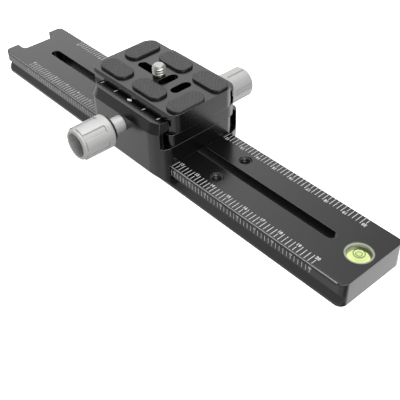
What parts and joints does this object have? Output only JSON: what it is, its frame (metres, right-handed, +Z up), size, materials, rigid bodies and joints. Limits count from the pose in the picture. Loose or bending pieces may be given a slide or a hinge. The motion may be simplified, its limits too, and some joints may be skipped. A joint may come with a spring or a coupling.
{
  "type": "nodal rail",
  "caption": "Slotted dovetail rail with a millimetre scale, a bubble level and a sliding two-knob clamp that holds a padded quick-release camera plate.",
  "frame": {"origin": "middle of the rail's underside, on the line of its slot", "axes": "+X along the rail to the end with the level, +Y to the knob of the rail jaw, +Z up out of the rail's scaled face"},
  "size_m": [0.24, 0.0999, 0.042],
  "materials": {
    "anodised_black": "satin black anodised",
    "silver_aluminium": "bead-blasted and anodised clear",
    "steel": "turned steel",
    "spring_steel": "drawn wire",
    "pad_rubber": "ribbed matt",
    "ring_nylon": "matt",
    "level_body": "clear acrylic over a pale back",
    "level_fluid": "tinted fluid",
    "level_lens": "clear acrylic"
  },
  "bodies": {
    "rail": {"rail": "anodised_black", "level_cup": "level_body", "level_fluid": "level_fluid", "level_lens": "level_lens"},
    "carriage": {"carriage_body": "anodised_black", "plate_jaw_guide_pins": "steel", "plate_jaw_spring": "spring_steel", "rail_jaw_spring": "spring_steel"},
    "plate_jaw": {"plate_jaw": "anodised_black"},
    "plate_knob": {"plate_clamp_screw": "steel", "plate_clamp_collar": "silver_aluminium", "plate_clamp_ring": "ring_nylon", "plate_clamp_knob": "silver_aluminium"},
    "rail_jaw": {"rail_jaw": "anodised_black", "rail_jaw_guide_pins": "steel"},
    "rail_knob": {"rail_clamp_screw": "steel", "rail_clamp_collar": "silver_aluminium", "rail_clamp_ring": "ring_nylon", "rail_clamp_knob": "silver_aluminium"},
    "quick_plate": {"quick_plate": "anodised_black", "pad_far_left": "pad_rubber", "pad_far_middle": "pad_rubber", "pad_far_right": "pad_rubber", "pad_near_left": "pad_rubber", "pad_near_middle": "pad_rubber", "pad_near_right": "pad_rubber"},
    "screw_carrier": {"camera_screw_washer": "steel"},
    "camera_screw": {"camera_screw_head": "steel", "camera_screw": "steel"}
  },
  "joints": [
    {"name": "carriage_slide", "type": "slide", "parent": "rail", "child": "carriage", "axis": [1, 0, 0], "range_m": [-0.086, 0.097]},
    {"name": "plate_knob_turn", "type": "hinge", "parent": "carriage", "child": "plate_knob", "pos_m": [-0.0057, -0.0243, 0.0248], "axis": [0, -1, 0], "range_deg": [0, 1800]},
    {"name": "plate_jaw_slide", "type": "slide", "parent": "carriage", "child": "plate_jaw", "axis": [0, 1, 0], "range_m": [0, 0.00355], "deforming": ["plate_jaw_spring"]},
    {"name": "rail_jaw_slide", "type": "slide", "parent": "carriage", "child": "rail_jaw", "axis": [0, 1, 0], "range_m": [0, 0.00355], "deforming": ["rail_jaw_spring"]},
    {"name": "rail_knob_turn", "type": "hinge", "parent": "rail_jaw", "child": "rail_knob", "pos_m": [-0.0042, 0.0263, 0.0151], "axis": [0, 1, 0], "range_deg": [0, 1800]},
    {"name": "plate_slide", "type": "slide", "parent": "carriage", "child": "quick_plate", "axis": [1, 0, 0], "range_m": [-0.015, 0.02]},
    {"name": "camera_screw_slide", "type": "slide", "parent": "quick_plate", "child": "screw_carrier", "axis": [1, 0, 0], "range_m": [-0.0118, 0]},
    {"name": "camera_screw_turn", "type": "hinge", "parent": "screw_carrier", "child": "camera_screw", "pos_m": [-0.01, 0.0021, 0.0394], "axis": [0, 0, 1], "continuous": true}
  ],
  "couplings": [
    {"joint": "plate_jaw_slide", "follows": "plate_knob_turn", "m_per_rad": 0.00011141},
    {"joint": "rail_jaw_slide", "follows": "rail_knob_turn", "m_per_rad": 0.00011141}
  ]
}
